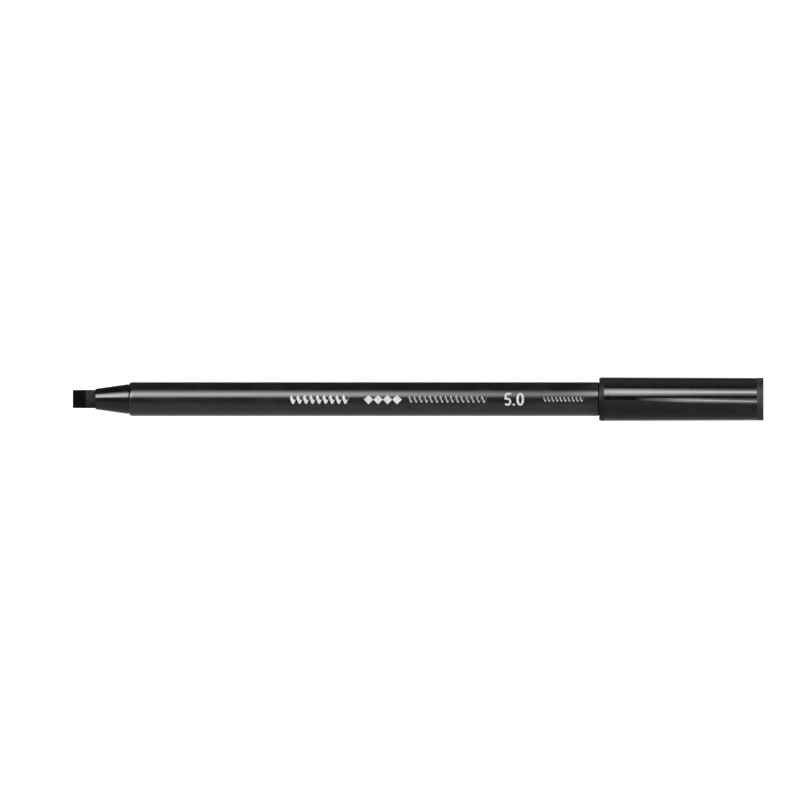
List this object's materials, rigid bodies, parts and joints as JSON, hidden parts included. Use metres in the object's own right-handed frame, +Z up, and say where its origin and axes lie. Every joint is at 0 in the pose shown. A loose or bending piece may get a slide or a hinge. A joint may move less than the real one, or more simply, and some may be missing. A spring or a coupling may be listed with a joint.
{
  "type": "calligraphy marker",
  "caption": "Broad-nib calligraphy marker: satin barrel with an ink reservoir, glossy nib holder, flat chisel nib, and a tapered pull-off cap posted on its rear.",
  "frame": {"origin": "middle of the overall length and width, on the surface that the cap's widest ring lies on", "axes": "+X along the marker from the nib to the cap's closed end, +Z up; the nib's broad faces and the print face -Y and +Y, with the writing edge along Z"},
  "size_m": [0.1856, 0.0118, 0.0117],
  "materials": {
    "inked_felt": "pressed fibre soaked in black ink",
    "holder_plastic": "glossy moulded black",
    "barrel_plastic": "satin extruded black with white print",
    "reservoir_fibre": "ink-soaked fibre",
    "film": "clear-white wrapping film",
    "plug_plastic": "satin moulded black",
    "cap_plastic": "glossy moulded black",
    "seal_plastic": "soft natural white",
    "disc_plastic": "satin moulded black"
  },
  "bodies": {
    "pen": {"barrel": "barrel_plastic", "nib_holder": "holder_plastic", "nib": "inked_felt", "ink_reservoir": "reservoir_fibre", "reservoir_film": "film", "barrel_end_plug": "plug_plastic"},
    "cap": {"cap_shell": "cap_plastic", "cap_inner_seal": "seal_plastic", "cap_end_disc": "disc_plastic"}
  },
  "joints": [
    {"name": "cap_slide", "type": "slide", "parent": "pen", "child": "cap", "axis": [1, 0, 0], "range_m": [0, 0.03]}
  ]
}
